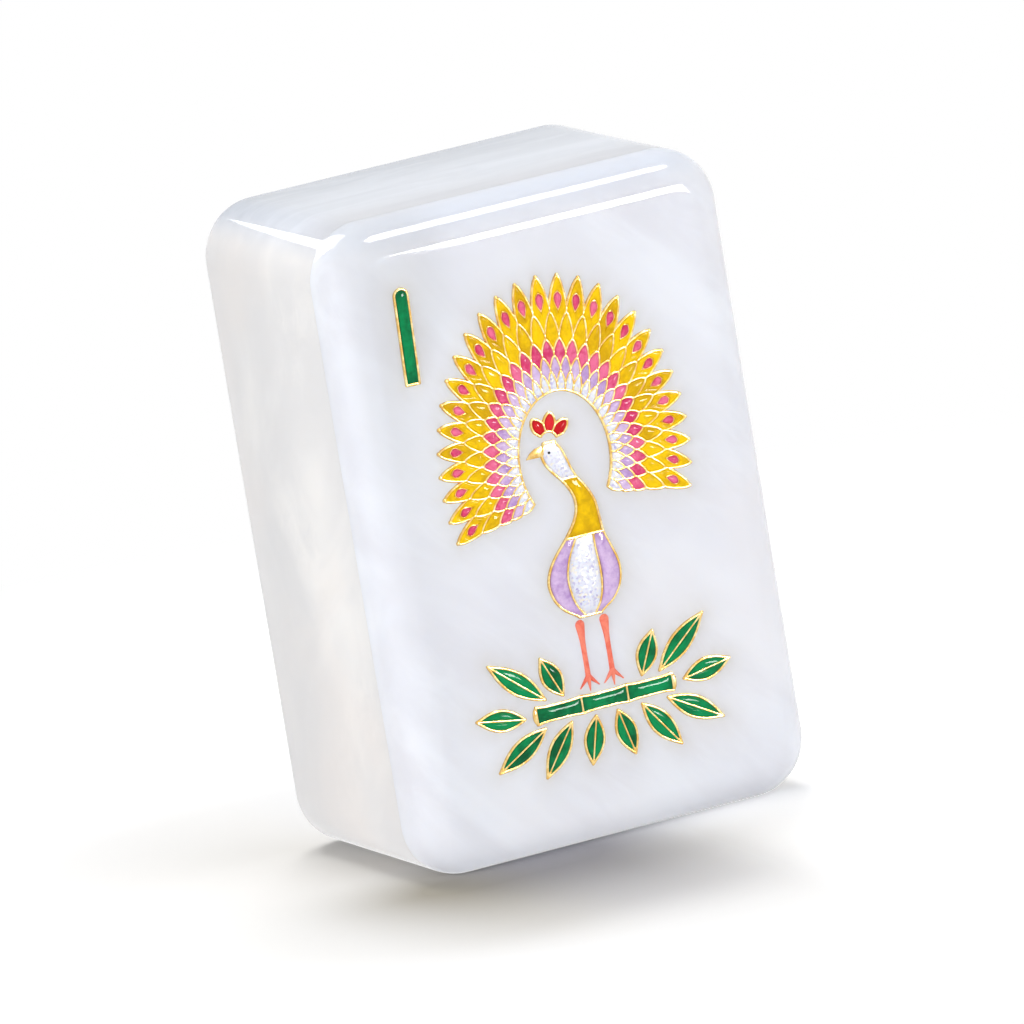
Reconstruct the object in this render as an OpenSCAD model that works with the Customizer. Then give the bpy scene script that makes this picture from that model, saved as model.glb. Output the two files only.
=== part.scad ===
// Mahjong tile that stands on its bottom end with its face towards -Y.
// Two bonded pearl layers, and a fan-tailed bird on a bamboo cane laid into the face in wire and enamel.

/* [Tile] */
// Width across the face
tile_w = 28; // [26:0.5:34]
// Height of the standing tile
tile_h = 42.2; // [40:0.2:50]
// Depth from face to back
tile_d = 20.5; // [16:0.5:26]
// Thickness of the face layer
face_layer_t = 2.8; // [2.2:0.1:4]
// Radius of the four corners, seen from the front
corner_r = 3.7; // [3:0.1:4]
// Rounding of the front edges
front_r = 2.7; // [1.5:0.1:2.8]
// Rounding of the back edges
back_r = 2; // [1:0.1:2.8]

/* [Inlay] */
// Width of the gold wires
wire_w = 0.2; // [0.16:0.01:0.22]
// Depth of the engraved beds
bed_depth = 0.35; // [0.25:0.05:0.6]
// Width of the finer wires in the long feathers
fine_wire_w = 0.12; // [0.08:0.01:0.14]
// Height of the wires above the face
wire_proud = 0.12; // [0.06:0.02:0.16]
// Height of the enamel above the face
enamel_proud = 0.2; // [0.16:0.02:0.3]
// Gap between neighbouring inlays
inlay_gap = 0.08; // [0.04:0.02:0.12]

/* [Rank bar] */
// Width of the bar
bar_w = 0.9; // [0.8:0.05:1.2]
// Length of the bar
bar_l = 6.1; // [5:0.1:7]
// Distance of the bar's middle from the tile's left side
bar_from_side = 4.7; // [4.4:0.1:5.2]
// Distance of the bar's middle from the tile's top end
bar_from_top = 7.4; // [6.6:0.1:9]
// Lean of the bar to the right, in degrees
bar_lean = 1.5; // [0:0.5:4]

/* [Train] */
// Number of long feathers
feather_n = 27; // [21:2:29]
// Half of the train's width
train_half_w = 8.6; // [7.8:0.1:9]
// Height of the train above its root
train_h = 11.6; // [10.6:0.1:12]
// Height of the train's root above the face's middle
train_rise = 3.8; // [3:0.1:4.2]
// Angle from the middle feather to the lowest one, in degrees
train_spread = 108; // [90:1:112]
// Droop of the outer tips, in degrees
train_droop = 3; // [0:1:6]

/* [Bird] */
// Height of the bird from vent to crown
bird_h = 11.4; // [10.6:0.1:11.8]
// Half of the body's width
body_half_w = 2.5; // [2:0.1:2.6]
// Sideways swing of the neck
neck_swing = 0.9; // [0.5:0.1:1.1]
// Length of the beak
beak_l = 1.1; // [0.7:0.1:1.2]
// Radius of the eye
eye_r = 0.14; // [0.1:0.01:0.18]
// Length of the crest feathers
crest_l = 1.8; // [1.6:0.1:1.9]
// Number of crest feathers
crest_n = 3; // [3:1:4]
// Length of the legs
leg_l = 3.6; // [3:0.1:4.2]
// Width of the legs
leg_w = 0.36; // [0.26:0.02:0.44]
// Distance between the legs
leg_space = 1.7; // [1.4:0.1:1.8]
// Length of the toes
toe_l = 1.1; // [0.8:0.1:1.2]

/* [Bamboo] */
// Length of the cane
cane_l = 9.6; // [8:0.1:10.4]
// Thickness of the cane
cane_w = 1.1; // [0.9:0.05:1.3]
// Number of lengths in the cane
cane_n = 3; // [2:1:4]
// Length of the longest leaves
leaf_l = 4.8; // [4:0.1:5]
// Width of the leaves
leaf_w = 1.3; // [1:0.05:1.4]

/* [Hidden] */
$fn = 64;
overrun = 1;
proud = max(wire_proud, enamel_proud);
face_y = -(tile_d - proud) / 2;
half_wire = wire_w / 2;

pearl = [0.93, 0.94, 0.97];
warm_pearl = [0.92, 0.91, 0.89];
gold = [0.86, 0.66, 0.2];
yellow = [0.94, 0.77, 0.05];
rose = [0.88, 0.36, 0.54];
lilac = [0.78, 0.64, 0.83];
red = [0.86, 0.12, 0.15];
coral = [0.97, 0.52, 0.42];
leaf_green = [0, 0.5, 0.3];
black = [0.08, 0.07, 0.07];

// Where along its half width the outline of a scale's or a feather's tip has points, and how pointed it is
scale_shares = [1, 0.5];
feather_shares = [1, 0.66, 0.34];
tip_power = 1.5;
// Rows of the train from the root outwards, as shares of its radius
root_share = 0.37;
shoulder_shares = [0.41, 0.495, 0.583, 0.68, 0.825];
tip_shares = [0.475, 0.56, 0.655, 0.8, 1];
row_n = len(tip_shares);
scale_row_n = 3;
half_step = 1 / (feather_n - 1);
// Angle that evens out the feathers' widths round the tall fan
evening = 3.6;
// Drop-shaped eye of a long feather: its outline, its middle, half its width and half its length
drop_shares = [[0, -1], [0.62, -0.45], [1, 0.15], [0.72, 0.72], [0, 1]];
drop_middle_share = 0.86;
drop_width_share = 0.42;
drop_length_share = 0.052;

// Bird outline: half widths and sideways places at even heights, as shares of body_half_w and neck_swing
girth_shares = [0.3, 0.66, 0.87, 0.97, 1, 0.95, 0.84, 0.69, 0.53, 0.41, 0.32, 0.27, 0.23, 0.21, 0.21, 0.26,
    0.3, 0.28, 0.16];
swing_shares = [0, 0, 0, 0, 0, 0.04, 0.12, 0.28, 0.5, 0.74, 0.92, 0.98, 0.84, 0.5, 0.04, -0.42, -0.75,
    -0.95, -1.02];
breast_share = 0.46;
neck_start = 8;
head_start = 14;
bird_top = len(girth_shares) - 1;
// Share of the bird's height that is below the train's root
below_share = 0.9;
bird_foot = train_rise - bird_h * below_share;
// Crest: one row of feathers round a point above the crown
crest_root_share = 0.34;
crest_shoulder_share = 0.62;
crest_spread = 42;
crest_lean = 12;
crest_half_step = 1 / (crest_n - 1);

// Leg and foot, as shares of leg_w and leg_l, then of toe_l
leg_shares = [[-0.9, 0], [-0.5, 0.3], [-0.5, 1]];
toe_shares = [[-0.62, 0.66], [-0.17, 0.3], [0, 0.9], [0.17, 0.3], [0.62, 0.66]];
leg_top = bird_foot - half_wire - inlay_gap;
toe_depth = toe_l * 0.9;
cane_mid = leg_top - leg_l - toe_depth - inlay_gap - half_wire - cane_w / 2;

// Cane: places along one length and its half thickness there, and the round of its ends
cane_shares = [[0, 1], [0.12, 0.9], [0.5, 0.84], [0.88, 0.9]];
cap_shares = [[0.16, 0.66], [0.24, 0]];
// Leaf: places along it and its half width there
leaf_shares = [[0.2, 0.62], [0.45, 1], [0.7, 0.8]];
// Leaves of the right side: place along half the cane, side of the cane, angle, share of leaf_l
spray_shares = [[1, 0, 10, 0.7], [0.84, 1, 40, 0.96], [0.9, -1, -30, 0.86], [0.52, -1, -54, 0.8],
    [0.16, -1, -76, 0.64], [0.58, 1, 66, 0.6]];

// Outlines

function unit(v) = v / norm(v);
function left_of(v) = [-v.y, v.x];
// Closed outline, anticlockwise, moved inwards by gap, or outwards by a negative gap
function inset(points, gap) = let(n = len(points)) [
    for (i = [0:n - 1])
        let(before = left_of(unit(points[i] - points[(i + n - 1) % n])))
        let(after = left_of(unit(points[(i + 1) % n] - points[i])))
        points[i] + gap * (before + after) / (1 + before * after)
];
function mirrored(points) = [for (i = [len(points) - 1:-1:0]) [-points[i].x, points[i].y]];
// Right half of an outline from bottom to top, closed with its mirror image in the middle line
function both_sides(half) = concat(half, [
    for (i = [len(half) - 2:-1:1]) [-half[i].x, half[i].y]
]);

// Edge of a feather tip, x half widths from its middle
function tip_line(shoulder, tip, x) = shoulder + (tip - shoulder) * (1 - pow(abs(x), tip_power));
// Right half of a cell, from its foot up: feet and flank are the places of its points along its floor
// and its tip
function half_cell(feet, floor, flank, shoulder, tip) = concat(
    [for (x = feet) [x, floor(x)]],
    [[1, floor(1)]],
    [for (x = flank) [x, tip_line(shoulder, tip, x)]],
    [[0, tip]]
);
// Outline of a cell whose middle is at a place of a fan, where fan gives the point of a place and reach
function cell(fan, place, step, half) = [
    for (p = both_sides(half)) fan(place + p.x * step, p.y)
];

// Train

train_fan = function(place, reach) let(
    even = 90 - place * train_spread,
    turn = even - evening * sin(2 * even),
    drooped = turn - train_droop * cos(turn) * reach * reach
) [train_half_w * reach * cos(drooped), train_h * reach * sin(drooped) + train_rise];

// Floor of a cell in a row of the train, which follows the two tips below it
function train_floor(row, x) = row == 0 ? root_share
    : tip_line(shoulder_shares[row - 1], tip_shares[row - 1], 1 - x);
function row_flank(row) = row < scale_row_n ? scale_shares : feather_shares;
function train_feet(row) = row == 0 ? [0] : [for (x = row_flank(row - 1)) 1 - x];
// Each row inwards has one feather more than the row outside it
function row_end(row) = 1 + (row_n - 1 - row) * half_step;
function train_row(row) = [
    for (i = [0:feather_n + row_n - 2 - row])
        cell(train_fan, -row_end(row) + 2 * i * half_step, half_step,
            half_cell(train_feet(row), function(x) train_floor(row, x), row_flank(row),
                shoulder_shares[row], tip_shares[row]))
];
// Outer side of the last cell in a row, up to but without its tip
function row_side(row) = concat(
    [train_fan(row_end(row) + half_step, train_floor(row, 1))],
    [for (x = row_flank(row))
        train_fan(row_end(row) + x * half_step, tip_line(shoulder_shares[row], tip_shares[row], x))]
);
// Places over a whole tip from its right shoulder, up to but without its left one
function over_tip(flank) = concat(flank, [0], [for (k = [len(flank) - 1:-1:1]) -flank[k]]);
// Tips of the long feathers from the lowest on the right up to the middle one
function long_tips() = [
    for (i = [(feather_n - 1) / 2:-1:0], x = over_tip(feather_shares))
        if (i > 0 || x >= 0)
            train_fan((2 * i + x) * half_step, tip_line(shoulder_shares[row_n - 1], 1, x))
];
// Outline of the eye in each long feather
function train_drops() = [
    for (i = [0:feather_n - 1]) [
        for (p = both_sides(drop_shares)) train_fan(
            -1 + (2 * i + p.x * drop_width_share) * half_step,
            drop_middle_share + p.y * drop_length_share)
    ]
];
function train_outline() = both_sides(concat(
    [for (i = [0:feather_n + row_n - 2]) train_fan(i * half_step, root_share)],
    [for (row = [0:row_n - 2]) each row_side(row)],
    [train_fan(row_end(row_n - 1) + half_step, tip_shares[row_n - 2])],
    long_tips()
));

// Bird

// Point of the bird at a station of its height, x shares of its half width from its middle line
function bird_point(x, station) = [
    neck_swing * swing_shares[station] + x * body_half_w * girth_shares[station],
    bird_foot + bird_h * station / bird_top
];
function bird_area(left, right, foot, top) = concat(
    [for (s = [foot:top]) bird_point(right, s)],
    [for (s = [top:-1:foot]) bird_point(left, s)]
);
breast = bird_area(-breast_share, breast_share, 0, neck_start);
left_wing = bird_area(-1, -breast_share, 0, neck_start);
right_wing = bird_area(breast_share, 1, 0, neck_start);
neck = bird_area(-1, 1, neck_start, head_start);
head = bird_area(-1, 1, head_start, bird_top);
bird_outline = bird_area(-1, 1, 0, bird_top);
beak_shares = [[0.35, 0.55], [-0.35, 0.42], [-1, -0.12], [0.35, -0.2]];
beak_root = bird_point(-1, bird_top - 1);
beak_outline = [for (p = beak_shares) beak_root + beak_l * p];
eye_place = bird_point(-0.3, bird_top - 1);
eye_play = 0.02;

crest_root = bird_point(0, bird_top) + [0, half_wire];
crest_fan = function(place, reach) let(turn = 90 - crest_lean - place * crest_spread)
    crest_root + crest_l * reach * [cos(turn), sin(turn)];
crest_cells = [
    for (i = [0:crest_n - 1])
        cell(crest_fan, -1 + 2 * i * crest_half_step, crest_half_step,
            half_cell([0], function(x) crest_root_share, scale_shares, crest_shoulder_share, 1))
];
// The crest's outline: up the right side, over the tips and back along its root
crest_end = 1 + crest_half_step;
crest_outline = concat(
    [for (i = [-crest_n:crest_n]) crest_fan(i * crest_half_step, crest_root_share)],
    [for (i = [crest_n - 1:-2:1 - crest_n], x = over_tip(scale_shares))
        crest_fan((i + x) * crest_half_step, tip_line(crest_shoulder_share, 1, x))],
    [crest_fan(-crest_end, crest_shoulder_share)]
);

// Right leg with its foot, from the hip down the outer side and back up the inner one
function leg_outline() = let(
    ankle = [leg_space / 2, leg_top - leg_l],
    shank = [for (p = leg_shares) [leg_space / 2 + p.x * leg_w, leg_top - p.y * leg_l]],
    back = [for (i = [len(leg_shares) - 1:-1:0])
        [leg_space / 2 - leg_shares[i].x * leg_w, leg_top - leg_shares[i].y * leg_l]]
) concat(shank, [for (p = toe_shares) ankle + toe_l * [p.x, -p.y]], back);

// Bamboo

cane_pitch = cane_l / cane_n;
// Upper edge of one length of the cane, from left to right, without its right end
function cane_edge(i) = [
    for (p = cane_shares) [-cane_l / 2 + (i + p.x) * cane_pitch, p.y * cane_w / 2]
];
cane_end = [cane_l / 2, cane_w / 2];
function around(upper) = concat([for (p = upper) [p.x, -p.y]], [
    for (i = [len(upper) - 1:-1:0]) upper[i]
]);
function lifted(points, rise) = [for (p = points) [p.x, p.y + rise]];
function cane_length(i) = let(end = cane_edge(i)[0] + [cane_pitch, 0])
    lifted(around(concat(cane_edge(i), [end])), cane_mid);
function cap(side) = [for (p = cap_shares) [side * (cane_l / 2 + p.x * cane_w), p.y * cane_w / 2]];
cane_outline = lifted(concat(
    [for (i = [0:cane_n - 1], p = cane_edge(i)) [p.x, -p.y]],
    [[cane_end.x, -cane_end.y]],
    [[cap(1)[0].x, -cap(1)[0].y], cap(1)[1], cap(1)[0]],
    [cane_end],
    [for (i = [cane_n - 1:-1:0], k = [len(cane_shares) - 1:-1:0]) cane_edge(i)[k]],
    [cap(-1)[0], cap(-1)[1], [cap(-1)[0].x, -cap(-1)[0].y]]
), cane_mid);

function turned(v, angle) = [v.x * cos(angle) - v.y * sin(angle), v.x * sin(angle) + v.y * cos(angle)];
leaf_start = half_wire + inlay_gap;
// Root of a leaf on or at the end of the cane, its angle and its length
function leaf_root(spray) = spray[1] == 0
    ? [cane_l / 2 + cap_shares[1].x * cane_w + 3 * leaf_start, cane_mid]
    : [spray[0] * cane_l / 2, cane_mid + spray[1] * (cane_w / 2 + 2 * leaf_start)];
function leaf_half(spray, side) = let(
    length = spray[3] * leaf_l,
    along = concat([[0, 0]], leaf_shares, [[1, 0]]),
    edge = [for (p = along) leaf_root(spray) + turned([p.x * length, side * p.y * leaf_w / 2], spray[2])]
) side < 0 ? edge : [for (i = [len(edge) - 1:-1:0]) edge[i]];
function leaf_outline(spray) = let(under = leaf_half(spray, -1), over = leaf_half(spray, 1))
    concat(under, [for (i = [1:len(over) - 2]) over[i]]);

// Rank bar

bar_round = 6;
bar_shape = concat(
    [[-bar_w / 2, -bar_l / 2], [bar_w / 2, -bar_l / 2]],
    [for (i = [0:bar_round]) let(a = 180 * i / bar_round)
        [bar_w / 2 * cos(a), bar_l / 2 - bar_w / 2 + bar_w / 2 * sin(a)]]
);
bar_middle = [bar_from_side - tile_w / 2, tile_h / 2 - bar_from_top];
bar_outline = [for (p = bar_shape) bar_middle + turned(p, -bar_lean)];

// Pieces

// Stands a drawing of the face up in its bed, from the bed's floor to a height above the face
module seated(height) {
    translate([0, face_y + bed_depth, tile_h / 2])
        rotate([90, 0, 0])
            linear_extrude(bed_depth + height)
                children();
}
module enamel(areas) {
    seated(enamel_proud)
        for (area = areas) polygon(inset(area, half_wire));
}
module wire(outline, areas) {
    seated(wire_proud)
        difference() {
            polygon(inset(outline, -half_wire));
            for (area = areas) polygon(inset(area, half_wire));
        }
}
module bed(outline) {
    polygon(inset(outline, -half_wire));
}

// Wall of the tile from its corner's axis outwards, between two depths behind the face
module wall_section(from, to) {
    intersection() {
        translate([0, from])
            square([corner_r, to - from]);
        union() {
            square([corner_r - front_r, front_r]);
            translate([corner_r - front_r, front_r])
                circle(front_r);
            translate([0, front_r])
                square([corner_r, tile_d - front_r - back_r]);
            translate([corner_r - back_r, tile_d - back_r])
                circle(back_r);
            translate([0, tile_d - back_r])
                square([corner_r - back_r, back_r]);
        }
    }
}
// Part of the rounded tile between two depths behind the face
module slab(from, to) {
    inner_w = tile_w - 2 * corner_r;
    inner_h = tile_h - 2 * corner_r;
    translate([0, face_y, tile_h / 2])
        rotate([-90, 0, 0]) {
            translate([-inner_w / 2, -inner_h / 2, from])
                cube([inner_w, inner_h, to - from]);
            for (turn = [0, 1]) {
                span = turn == 0 ? inner_h : inner_w;
                across = turn == 0 ? inner_w : inner_h;
                for (side = [0, 180])
                    rotate([0, 0, 90 * turn + side])
                        translate([across / 2, span / 2, 0])
                            rotate([90, 0, 0])
                                linear_extrude(span)
                                    wall_section(from, to);
            }
            for (x = [-1, 1], y = [-1, 1])
                translate([x * inner_w / 2, y * inner_h / 2, 0])
                    rotate([0, 0, x > 0 ? (y > 0 ? 0 : -90) : (y > 0 ? 90 : 180)])
                        rotate_extrude(angle = 90)
                            wall_section(from, to);
        }
}

module back_block() {
    color(warm_pearl)
        slab(face_layer_t, tile_d);
}
module face_layer() {
    color(pearl)
        difference() {
            slab(0, face_layer_t);
            seated(overrun) {
                bed(bar_outline);
                bed(train_outline());
                bed(bird_outline);
                bed(crest_outline);
                bed(cane_outline);
                polygon(leg_outline());
                polygon(mirrored(leg_outline()));
                for (spray = spray_shares) {
                    bed(leaf_outline(spray));
                    bed(mirrored(leaf_outline(spray)));
                }
                beak_shape();
            }
        }
}
module rank_bar_wire() {
    color(gold)
        wire(bar_outline, [bar_outline]);
}
module rank_bar_enamel() {
    color(leaf_green)
        enamel([bar_outline]);
}
module train_wire() {
    color(gold)
        wire(train_outline(), [for (row = [0:row_n - 1]) each train_row(row)]);
}
module long_feathers() {
    color(yellow)
        seated(enamel_proud)
            difference() {
                for (area = train_row(row_n - 1)) polygon(inset(area, half_wire));
                for (drop = train_drops()) polygon(inset(drop, -fine_wire_w / 2));
            }
}
module feather_eye_wires() {
    color(gold)
        seated(wire_proud)
            for (drop = train_drops())
                difference() {
                    polygon(inset(drop, -fine_wire_w / 2));
                    polygon(inset(drop, fine_wire_w / 2));
                }
}
module feather_eye_enamel() {
    color(rose)
        seated(enamel_proud)
            for (drop = train_drops()) polygon(inset(drop, fine_wire_w / 2));
}
module short_feathers() {
    color(yellow)
        enamel(train_row(3));
}
module rose_scales() {
    color(rose)
        enamel(train_row(2));
}
module lilac_scales() {
    color(lilac)
        enamel(train_row(1));
}
module pearl_scales() {
    color(pearl)
        enamel(train_row(0));
}
module bird_wire() {
    color(gold)
        wire(bird_outline, [breast, left_wing, right_wing, neck, head]);
}
module breast_enamel() {
    color(pearl)
        enamel([breast]);
}
module left_wing_enamel() {
    color(lilac)
        enamel([left_wing]);
}
module right_wing_enamel() {
    color(lilac)
        enamel([right_wing]);
}
module neck_enamel() {
    color(yellow)
        enamel([neck]);
}
module eye_shape(play) {
    translate(eye_place)
        circle(eye_r + play);
}
module head_enamel() {
    color(pearl)
        seated(enamel_proud)
            difference() {
                polygon(inset(head, half_wire));
                eye_shape(eye_play);
            }
}
module eye() {
    color(black)
        seated(enamel_proud)
            eye_shape(0);
}
module beak_shape() {
    difference() {
        polygon(beak_outline);
        polygon(inset(bird_outline, -half_wire));
    }
}
module beak() {
    color(gold)
        seated(wire_proud)
            beak_shape();
}
module crest_wire() {
    color(gold)
        wire(crest_outline, crest_cells);
}
module crest_enamel() {
    color(red)
        enamel(crest_cells);
}
module left_leg() {
    color(coral)
        seated(enamel_proud)
            polygon(mirrored(leg_outline()));
}
module right_leg() {
    color(coral)
        seated(enamel_proud)
            polygon(leg_outline());
}
module cane_wire() {
    color(gold)
        wire(cane_outline, [for (i = [0:cane_n - 1]) cane_length(i)]);
}
module cane_enamel() {
    color(leaf_green)
        enamel([for (i = [0:cane_n - 1]) cane_length(i)]);
}
module leaf_wires() {
    for (spray = spray_shares)
        wire(leaf_outline(spray), [leaf_half(spray, -1), leaf_half(spray, 1)]);
}
module leaf_enamel() {
    for (spray = spray_shares)
        enamel([leaf_half(spray, -1), leaf_half(spray, 1)]);
}
module left_leaf_wires() {
    color(gold)
        mirror([1, 0, 0]) leaf_wires();
}
module left_leaf_enamel() {
    color(leaf_green)
        mirror([1, 0, 0]) leaf_enamel();
}
module right_leaf_wires() {
    color(gold)
        leaf_wires();
}
module right_leaf_enamel() {
    color(leaf_green)
        leaf_enamel();
}

back_block();
face_layer();
rank_bar_wire();
rank_bar_enamel();
train_wire();
long_feathers();
feather_eye_wires();
feather_eye_enamel();
short_feathers();
rose_scales();
lilac_scales();
pearl_scales();
bird_wire();
breast_enamel();
left_wing_enamel();
right_wing_enamel();
neck_enamel();
head_enamel();
beak();
eye();
crest_wire();
crest_enamel();
left_leg();
right_leg();
cane_wire();
cane_enamel();
left_leaf_wires();
left_leaf_enamel();
right_leaf_wires();
right_leaf_enamel();
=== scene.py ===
# Looks of the mahjong tile: pearl layers, gold wires and domed enamel. The face is drawn in millimetres,
# x to the right and z up from its middle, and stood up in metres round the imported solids.
import bmesh
import bpy
import numpy as np
from mathutils import Matrix, Vector


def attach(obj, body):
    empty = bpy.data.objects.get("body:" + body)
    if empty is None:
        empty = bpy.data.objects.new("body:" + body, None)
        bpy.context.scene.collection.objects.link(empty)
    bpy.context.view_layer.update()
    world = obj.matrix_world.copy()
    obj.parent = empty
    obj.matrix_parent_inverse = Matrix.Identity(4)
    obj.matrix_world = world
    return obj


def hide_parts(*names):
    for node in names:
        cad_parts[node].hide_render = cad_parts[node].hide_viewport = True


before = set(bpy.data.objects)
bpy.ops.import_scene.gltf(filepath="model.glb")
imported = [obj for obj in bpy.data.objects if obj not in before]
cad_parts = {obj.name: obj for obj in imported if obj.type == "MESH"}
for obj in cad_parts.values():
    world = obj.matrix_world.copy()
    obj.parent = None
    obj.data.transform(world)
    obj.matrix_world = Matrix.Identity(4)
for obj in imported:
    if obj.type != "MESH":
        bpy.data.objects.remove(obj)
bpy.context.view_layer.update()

tile = {
    "width": 28.0, "height": 42.2, "depth": 20.5,  # mm
    "faceLayer": 2.8,        # thickness of the face layer
    "cornerRadius": 3.7, "frontRadius": 2.7, "backRadius": 2.0,
    "seamRadius": 0.05,      # softened edges where the two layers meet
    "proud": 0.2,            # height of the enamel above the face
    "wireWidth": 0.2, "fineWireWidth": 0.12, "wireCrest": 0.12,
    "bed": 0.12,             # how deep wires and enamel reach under the face here
    "clearance": 0.08,       # between the wires of the bird, the cane and the leaves
}
faceY = -(tile["depth"] - tile["proud"]) / 2
halfWire = tile["wireWidth"] / 2
clearance = tile["clearance"]
rng = np.random.default_rng(42)  # one draw for each cell and wire, in the order the pieces are made


# Shader maths

class Link:
    # Wraps a socket, so that an expression on links adds the nodes that work it out

    def __init__(self, finish, socket):
        self.finish, self.socket = finish, socket

    def worked(self, operation, *parts, output=0):
        kind, links = "Math", [part.socket for part in parts if isinstance(part, Link)]
        if any(socket.type in ("VECTOR", "RGBA") for socket in links):
            kind = "VectorMath"
            parts = [part if isinstance(part, (Link, tuple)) else (part,) * 3 for part in parts]
        return self.finish.node(kind, {"operation": operation}, dict(enumerate(parts)), output)

    def __add__(self, other): return self.worked("ADD", self, other)
    def __radd__(self, other): return self.worked("ADD", other, self)
    def __sub__(self, other): return self.worked("SUBTRACT", self, other)
    def __rsub__(self, other): return self.worked("SUBTRACT", other, self)
    def __mul__(self, other): return self.worked("MULTIPLY", self, other)
    def __rmul__(self, other): return self.worked("MULTIPLY", other, self)
    def __pow__(self, other): return self.worked("POWER", self, other)
    def __rpow__(self, other): return self.worked("POWER", other, self)

    def step(self, low, high):
        # 0 below low, 1 above high, and a soft rise between
        return self.finish.node("MapRange", {"interpolation_type": "SMOOTHSTEP"},
                                {"Value": self, "From Min": low, "From Max": high})

    def dot(self, direction):
        return self.worked("DOT_PRODUCT", self, direction, output="Value")

    def length(self):
        return self.worked("LENGTH", self, output="Value")


def linear(colour):
    # Whole numbers are a colour as given on screen, 0 to 255, and become the light it stands for
    if isinstance(colour[0], float):
        return colour
    share = np.array(colour) / 255
    return tuple(np.where(share <= 0.04045, share / 12.92, ((share + 0.055) / 1.055) ** 2.4).tolist())


class Finish:
    # A material, or the room's light, under construction

    def __init__(self, name, room=False):
        self.material = (bpy.data.worlds if room else bpy.data.materials).new(name)
        self.material.use_nodes = True
        self.tree = self.material.node_tree
        self.tree.nodes.clear()
        self.output = self.tree.nodes.new("ShaderNodeOutputWorld" if room else "ShaderNodeOutputMaterial")

    def node(self, kind, settings=None, inputs=None, output=0):
        # Any node: its type, its settings, its sockets' values or links, and the output that counts
        made = self.tree.nodes.new("ShaderNode" + kind)
        for key, value in (settings or {}).items():
            if key == "stops":
                for _ in range(len(value) - 2):
                    made.color_ramp.elements.new(0.5)
                for element, (place, colour) in zip(made.color_ramp.elements, value):
                    element.position, element.color = place, (*linear(colour), 1)
            else:
                setattr(made, key, value)
        for key, value in (inputs or {}).items():
            socket = made.inputs[key]
            if isinstance(value, Link):
                self.tree.links.new(value.socket, socket)
            elif socket.type == "RGBA":
                socket.default_value = (*linear(value), 1)
            else:
                socket.default_value = value
        return Link(self, made.outputs[output])

    def mix(self, factor, first, second):
        # Colour between two colours
        return self.node("Mix", {"data_type": "RGBA"}, {"Factor": factor, 6: first, 7: second}, 2)

    def noise(self, place, scale, detail=2.0, roughness=0.5, distortion=0.0):
        return self.node("TexNoise", {}, {
            "Vector": place, "Scale": scale, "Detail": detail, "Roughness": roughness,
            "Distortion": distortion})

    def place(self):
        # Object coordinates in millimetres
        return self.node("TexCoord", output="Object") * 1000.0

    def attribute(self, name):
        return self.node("Attribute", {"attribute_name": name}, output="Fac")

    def bump(self, height, strength, distance):
        return self.node("Bump", {}, {"Height": height, "Strength": strength, "Distance": distance})

    def rays(self, *kinds):
        # 1 for rays of these kinds, 0 for all others
        first, *others = [self.node("LightPath", output="Is " + kind + " Ray") for kind in kinds]
        return sum(others, first)

    def between(self, factor, first, second):
        # Shader between two shaders
        return self.node("MixShader", {}, {0: factor, 1: first, 2: second})

    def shown(self, shader):
        self.tree.links.new(shader.socket, self.output.inputs["Surface"])
        return self.material

    def surface(self, inputs):
        return self.shown(self.node("BsdfPrincipled", {}, inputs))


# Meshes

def standUp(flat, height):
    # Face points (x, z) in mm as places in metres: the height goes towards -Y, z counts from the foot
    height = np.broadcast_to(height, flat.shape[:-1])
    return np.stack([flat[..., 0], faceY - height, flat[..., 1] + tile["height"] / 2], -1) / 1000


def pairs(first, second):
    # Two numbers or arrays as one array of pairs
    return np.stack(np.broadcast_arrays(first, second), -1)


def leftOf(ahead):
    # Directions turned a quarter to the left
    return pairs(-ahead[..., 1], ahead[..., 0])


def placed(name, data):
    made = bpy.data.objects.new(name, data)
    bpy.context.scene.collection.objects.link(made)
    return made


def ringQuads(rings, points, looped):
    # Quads between neighbouring rings, from point i to i + 1; looped joins the last ring to the first
    ring, point = np.meshgrid(np.arange(rings if looped else rings - 1), np.arange(points), indexing="ij")
    corners = [(ring + i) % rings * points + (point + j) % points
               for i, j in ((0, 0), (0, 1), (1, 1), (1, 0))]
    return np.stack(corners, -1).reshape(-1, 4)


def makePiece(name, parts, finish, slotName, node):
    # One mesh of parts, each (points of shape (..., rings, round, 3), looped, {attribute: values}). Rings
    # shrunk to a point are merged, so every part is closed.
    points, quads, values, count = [], [], {}, 0
    for shape, looped, given in parts:
        rings, around = shape.shape[-3:-1]
        shape = shape.reshape(-1, rings * around, 3)
        starts = count + np.arange(len(shape))[:, None, None] * rings * around
        quads.append((ringQuads(rings, around, looped) + starts).reshape(-1, 4))
        points.append(shape.reshape(-1, 3))
        for key in ("tone", "rim", "nearInlay", "backEdge"):
            filled = np.broadcast_to(given.get(key, 0.0), shape.shape[:2])
            values.setdefault(key, []).append(filled.reshape(-1))
        count += len(points[-1])
    mesh = bpy.data.meshes.new(name)
    mesh.from_pydata(np.concatenate(points).tolist(), [], np.concatenate(quads).tolist())
    for key, listed in values.items():
        held = mesh.attributes.new(key, "FLOAT", "POINT")
        held.data.foreach_set("value", np.concatenate(listed).astype(np.float32))
    work = bmesh.new()
    work.from_mesh(mesh)
    bmesh.ops.remove_doubles(work, verts=work.verts, dist=2e-7)
    work.to_mesh(mesh)
    work.free()
    mesh.shade_smooth()
    mesh.set_sharp_from_angle(angle=np.radians(40))
    mesh.materials.append(finish)
    piece = placed(name, mesh)
    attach(piece, "root")
    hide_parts(node)
    return piece


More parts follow.
